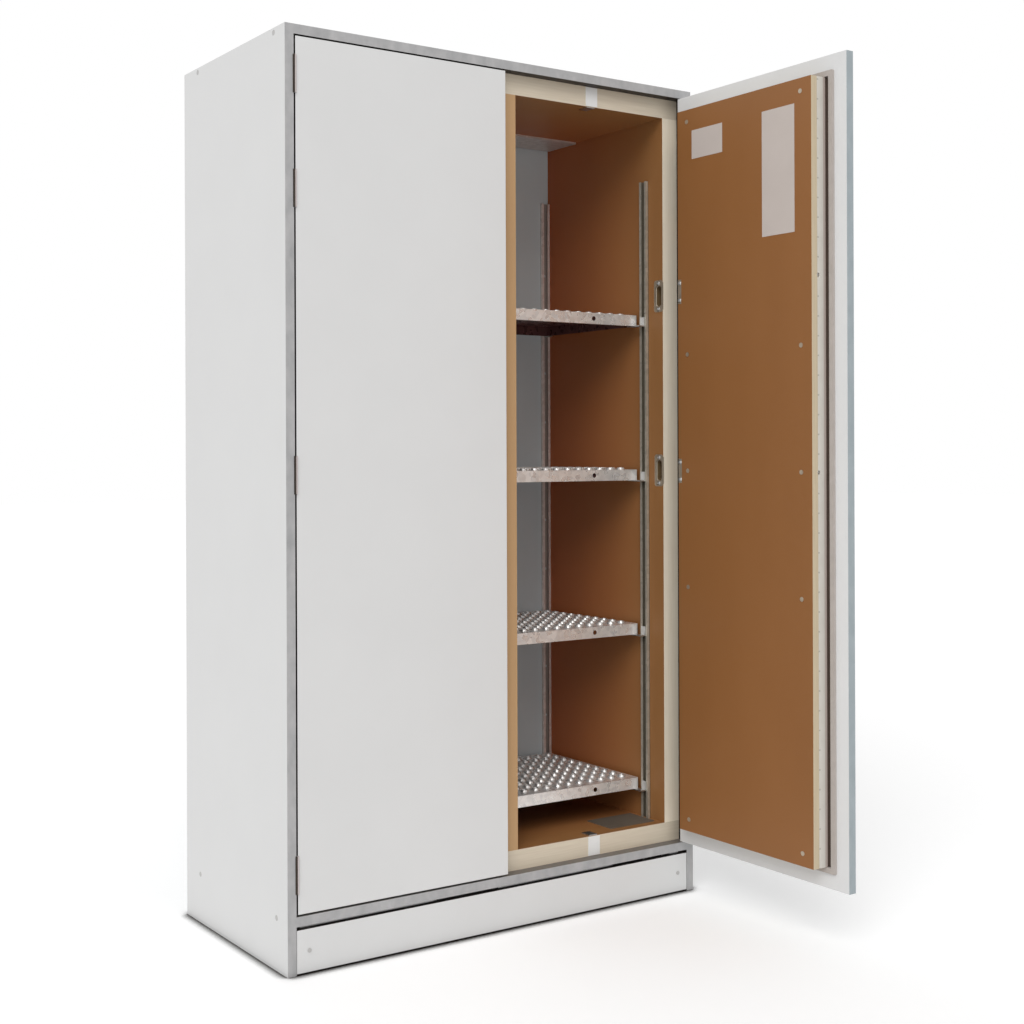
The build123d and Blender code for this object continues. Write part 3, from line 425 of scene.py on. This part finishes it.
def round_heads(name, body, places, normal, radius=0.0055):
    """Domed screw heads with a shallow turned recess, one piece for like screws."""
    heads = []
    for place in places:
        bpy.ops.object.select_all(action="DESELECT")
        bpy.ops.mesh.primitive_circle_add(vertices=16, radius=radius, fill_type="NGON")
        head = bpy.context.object
        bpy.ops.object.mode_set(mode="EDIT")
        bpy.ops.mesh.select_all(action="SELECT")
        bpy.ops.mesh.inset(thickness=radius * 0.16, depth=radius * 0.34)
        bpy.ops.mesh.inset(thickness=radius * 0.26, depth=radius * 0.16)
        bpy.ops.mesh.inset(thickness=radius * 0.12, depth=0.0)
        bpy.ops.mesh.inset(thickness=radius * 0.10, depth=-radius * 0.25)
        bpy.ops.object.mode_set(mode="OBJECT")
        head.rotation_euler = Vector(normal).to_track_quat("Z", "Y").to_euler()
        head.location = Vector(place)
        bpy.ops.object.transform_apply(location=True, rotation=True, scale=True)
        heads.append(head)
    for head in heads:
        head.select_set(True)
    bpy.ops.object.join()
    piece = bpy.context.object
    piece.name = name
    bpy.ops.object.mode_set(mode="EDIT")
    bpy.ops.mesh.select_all(action="SELECT")
    bpy.ops.mesh.normals_make_consistent(inside=False)
    bpy.ops.object.mode_set(mode="OBJECT")
    piece.data.materials.append(zinc)
    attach(piece, body)
    return piece


pocket_low, pocket_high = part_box("hook_pockets")
POCKET_HALF, POCKET_SCREW, HOOK_SCREW = 0.042, 0.034, 0.022
plate_mid_y = (pocket_low[1] + pocket_high[1]) / 2
levels = (pocket_low[2] + POCKET_HALF, pocket_high[2] - POCKET_HALF)
for word, way, edge in (("left", 1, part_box("lining_left")[1][0]),
                        ("right", -1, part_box("lining_right")[0][0])):
    round_heads(f"pocket_screws_{word}", "cabinet",
                [(edge, plate_mid_y, level + end * POCKET_SCREW)
                 for level in levels for end in (-1, 1)], (way, 0, 0))
HOOK_LEG_MID = 0.006
round_heads("hook_screws_right", "door_right",
            [(core_box[0][0], core_box[1][1] - HOOK_LEG_MID, level + end * HOOK_SCREW)
             for level in levels for end in (-1, 1)], (-1, 0, 0))
round_heads("hook_screws_left", "door_left",
            [(left_core[0][0] + HOOK_LEG_MID, left_core[1][1], level + end * HOOK_SCREW)
             for level in levels for end in (-1, 1)], (0, 1, 0))

# ---- Rails, shelves and duct ----------------------------------------------------------
# Hot-dip galvanised sheet with a faint spangle, roll-formed into slotted rails and folded
# into trays. The shelf tops are pierced with rows of round holes with raised rims.


def galvanised(name, dark, light, rough=(0.32, 0.5), metal=0.85):
    """Spangled zinc: flat crystal patches that differ in tone and gloss."""
    material, tree, shader = new_material(name, metal=metal)
    place = tree.nodes.new("ShaderNodeTexCoord")
    spangle = tree.nodes.new("ShaderNodeTexVoronoi")
    spangle.inputs["Scale"].default_value = 90.0
    tree.links.new(place.outputs["Object"], spangle.inputs["Vector"])
    tone = tree.nodes.new("ShaderNodeSeparateColor")
    tree.links.new(spangle.outputs["Color"], tone.inputs["Color"])
    colour = blend_colour(tree, tone.outputs["Red"], dark, light)
    tree.links.new(colour, shader.inputs["Base Color"])
    set_rough(tree, shader, tone.outputs["Green"], *rough)
    fine = use_group(tree, mottle, Scale=30.0, Stretch=(1, 1, 1))
    add_bump(tree, shader, fine.outputs["Grain"], 0.2, 0.0002)
    return material


zinc_sheet = galvanised("galvanised sheet", (0.76, 0.745, 0.73), (0.93, 0.90, 0.87), (0.24, 0.42), 0.62)
dress(zinc_sheet, "exhaust_spigot")

# The shelves are the same sheet, but their undersides, side lips and the insides of their rear lips are
# painted dark reddish brown, as painted shade and a painted reflection of the brown lining.
LIP_BACK = 0.006        # from the front of a shelf to behind its front lip
shelf_sheet = zinc_sheet.copy()
shelf_sheet.name = "galvanised shelf sheet"
tree, shader, plain = coloured(shelf_sheet)
under = use_group(tree, facing, Direction=(0, 0, -1))
behind = use_group(tree, beyond, Direction=forwards, Fade=0.001,
                   Place=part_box("shelf_1")[0][1] + LIP_BACK)
turned = use_group(tree, facing, Direction=(0, -1, 0))
hidden = math_node(tree, "MULTIPLY", behind.outputs["Mask"], turned.outputs["Mask"])
sides = use_group(tree, broad_face, Axis=sideways)
dull = math_node(tree, "MAXIMUM", under.outputs["Mask"], hidden)
dull = math_node(tree, "MAXIMUM", dull, sides.outputs["Mask"])
tree.links.new(blend_colour(tree, dull, plain, (0.17, 0.080, 0.075)),
               shader.inputs["Base Color"])
dress(shelf_sheet, "shelf_1", "shelf_2", "shelf_3", "shelf_4")
dress(galvanised("galvanised ceiling sheet", (0.62, 0.56, 0.53), (0.74, 0.68, 0.65), metal=0.5),
      "duct_cover")

# The web at the bottom of each rail's slot is painted dark, as painted shade.
WEB_SHADE = {"rails_front": (0.16, 0.14, 0.105), "rails_rear": (0.40, 0.335, 0.305)}
RAIL_TONES = {"rails_front": ((0.42, 0.38, 0.31), (0.54, 0.49, 0.41)),
              "rails_rear": ((0.80, 0.70, 0.65), (0.94, 0.85, 0.80))}
WEB_DEPTH = 0.002
for word in ("rails_front", "rails_rear"):
    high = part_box(word)[1]
    rail_zinc = galvanised(f"galvanised {word}", *RAIL_TONES[word], metal=0.45)
    tree, shader, plain = coloured(rail_zinc)
    if word == "rails_front":
        web = math_node(tree, "GREATER_THAN", off_centre(tree), high[0] - WEB_DEPTH)
    else:
        web = use_group(tree, beyond, Direction=forwards, Place=high[1] - WEB_DEPTH,
                        Fade=0.0005).outputs["Mask"]
    tree.links.new(blend_colour(tree, web, plain, WEB_SHADE[word]),
                   shader.inputs["Base Color"])
    dress(rail_zinc, word)
# Each rim's hole is a near-black disc, painted shade in place of an opening.
hole_shade = plain_stuff("pierced hole", (0.012, 0.010, 0.008), (0.02, 0.017, 0.014), 30.0,
                        (0.8, 0.9), 0.1)
rim_zinc = galvanised("pierced rims", (0.55, 0.54, 0.53), (0.74, 0.72, 0.70), (0.38, 0.58))
RIM_RADIUS = 0.0115
RIM_RISE = 0.005
HOLE_PITCH = 0.036
EDGE_MARGIN = 0.024

for number in range(1, 5):
    low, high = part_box(f"shelf_{number}")
    columns = int((high[0] - low[0] - 2 * EDGE_MARGIN) / HOLE_PITCH)
    rows = int((high[1] - low[1] - 2 * EDGE_MARGIN) / HOLE_PITCH)
    middle = ((low[0] + high[0]) / 2, (low[1] + high[1]) / 2)
    bpy.ops.object.select_all(action="DESELECT")
    first = (middle[0] - columns * HOLE_PITCH / 2, middle[1] - rows * HOLE_PITCH / 2)
    bpy.ops.mesh.primitive_circle_add(vertices=14, radius=RIM_RADIUS, fill_type="NGON",
                                      location=(*first, high[2] + 0.0002))
    rims = bpy.context.object
    rims.name = f"shelf_{number}_rims"
    bpy.ops.object.transform_apply(location=True, rotation=False, scale=False)
    bpy.ops.object.mode_set(mode="EDIT")
    bpy.ops.mesh.select_all(action="SELECT")
    bpy.ops.mesh.inset(thickness=0.0025, depth=RIM_RISE)
    bpy.ops.mesh.inset(thickness=0.0012, depth=0.0)
    bpy.ops.mesh.inset(thickness=0.0010, depth=-RIM_RISE + 0.0002)
    bpy.ops.mesh.select_all(action="SELECT")
    bpy.ops.mesh.normals_make_consistent(inside=False)
    bpy.ops.object.mode_set(mode="OBJECT")
    rims.data.materials.append(rim_zinc)
    rims.data.materials.append(hole_shade)
    for face in rims.data.polygons:
        face.material_index = 1 if len(face.vertices) > 4 else 0
    for axis, count in ((0, columns + 1), (1, rows + 1)):
        rows_of_rims = rims.modifiers.new("rows of rims", "ARRAY")
        rows_of_rims.count = count
        rows_of_rims.use_relative_offset = False
        rows_of_rims.use_constant_offset = True
        rows_of_rims.constant_offset_displace = tuple(HOLE_PITCH if i == axis else 0 for i in range(3))
        bpy.ops.object.modifier_apply(modifier=rows_of_rims.name)
    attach(rims, "cabinet")

# ---- Information labels ----------------------------------------------------------------
# Two self-adhesive paper labels on the inner face of the right door.
# Both stay blank.
paper = plain_stuff("label paper", (0.53, 0.465, 0.425), (0.59, 0.525, 0.485), 12.0,
                    (0.55, 0.65), 0.15)
PAPER_THICK = 0.0004
core_low, core_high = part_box("door_right_core")
LABELS = {"tall_label": (0.105, 0.302, 0.105, 0.056), "small_label": (0.110, 0.073, 0.348, 0.056)}
for name, (wide, tall, from_free, from_top) in LABELS.items():
    y = core_low[1] + from_free
    z = core_high[2] - from_top - tall / 2
    bpy.ops.object.select_all(action="DESELECT")
    bpy.ops.mesh.primitive_cube_add(size=1, location=(core_low[0] - PAPER_THICK / 2, y, z),
                                    scale=(PAPER_THICK, wide, tall))
    label = bpy.context.object
    label.name = name
    bpy.ops.object.transform_apply(location=True, rotation=True, scale=True)
    bpy.ops.object.mode_set(mode="EDIT")
    bpy.ops.mesh.select_all(action="SELECT")
    bpy.ops.mesh.bevel(offset=0.00015, segments=1, affect="EDGES")
    bpy.ops.object.mode_set(mode="OBJECT")
    label.data.materials.append(paper)
    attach(label, "door_right")

# ---- Floor, light and camera ----------------------------------------------------------
# A white studio floor and sky, with one broad soft lamp from the front left.
bpy.ops.object.select_all(action="DESELECT")
bpy.ops.mesh.primitive_plane_add(size=60, location=(0, 0, 0))
floor = bpy.context.object
floor.name = "studio_floor"
white, tree, shader = new_material("studio floor", rough=0.9, specular=0.1)
lift = tree.nodes.new("ShaderNodeLightPath")
shader.inputs["Emission Color"].default_value = (1, 1, 1, 1)
seen = math_node(tree, "MAXIMUM", lift.outputs["Is Camera Ray"], lift.outputs["Is Glossy Ray"])
# Next to the cabinet the floor is painted near-black by ambient occlusion, a painted contact shadow.
contact_shadow = tree.nodes.new("ShaderNodeAmbientOcclusion")
contact_shadow.inputs["Distance"].default_value = 0.035
contact_shadow.samples = 8
clear = tree.nodes.new("ShaderNodeMapRange")
clear.inputs["From Min"].default_value = 0.55
clear.inputs["From Max"].default_value = 0.93
tree.links.new(contact_shadow.outputs["AO"], clear.inputs["Value"])
open_floor = clear.outputs["Result"]
tree.links.new(blend_colour(tree, open_floor, (0.02, 0.015, 0.012), (0.95, 0.95, 0.95)),
               shader.inputs["Base Color"])
tree.links.new(math_node(tree, "MULTIPLY", math_node(tree, "MULTIPLY", seen, 0.16), open_floor),
               shader.inputs["Emission Strength"])
floor.data.materials.append(white)

world = bpy.data.worlds.new("studio sky")
bpy.context.scene.world = world
world.use_nodes = True
sky_tree = world.node_tree
sky = sky_tree.nodes["Background"]
sky.inputs["Color"].default_value = (1, 1, 1, 1)
path = sky_tree.nodes.new("ShaderNodeLightPath")
seen = math_node(sky_tree, "MAXIMUM", path.outputs["Is Camera Ray"], path.outputs["Is Glossy Ray"])
seen = math_node(sky_tree, "MAXIMUM", seen, path.outputs["Is Transmission Ray"])
level = sky_tree.nodes.new("ShaderNodeMapRange")
level.inputs["To Min"].default_value = 0.62
level.inputs["To Max"].default_value = 1.0
sky_tree.links.new(seen, level.inputs["Value"])
sky_tree.links.new(level.outputs["Result"], sky.inputs["Strength"])

lamp_data = bpy.data.lights.new("soft sun", "SUN")
lamp_data.energy = 1.45
lamp_data.angle = math.radians(40)
lamp = bpy.data.objects.new("soft sun", lamp_data)
bpy.context.scene.collection.objects.link(lamp)
lamp.rotation_euler = Vector((0.62, 0.62, -0.75)).to_track_quat("-Z", "Y").to_euler()

camera_data = bpy.data.cameras.new("camera")
camera = bpy.data.objects.new("camera", camera_data)
bpy.context.scene.collection.objects.link(camera)
CAMERA_PLACE = (-2.103, -3.203, 1.161)
CAMERA_HEADING = math.radians(-33.107)
CAMERA_ROLL = math.radians(-0.2)
camera.location = CAMERA_PLACE
turn = Euler((math.radians(90), 0, CAMERA_HEADING)).to_matrix()
camera.rotation_euler = (turn @ Matrix.Rotation(CAMERA_ROLL, 3, "Z")).to_euler()
camera_data.lens = 52.17
camera_data.sensor_width = 36
camera_data.shift_x = 0.0700
camera_data.shift_y = -0.0591
camera_data.clip_end = 200
bpy.context.scene.camera = camera
bpy.context.scene.view_settings.view_transform = "Standard"
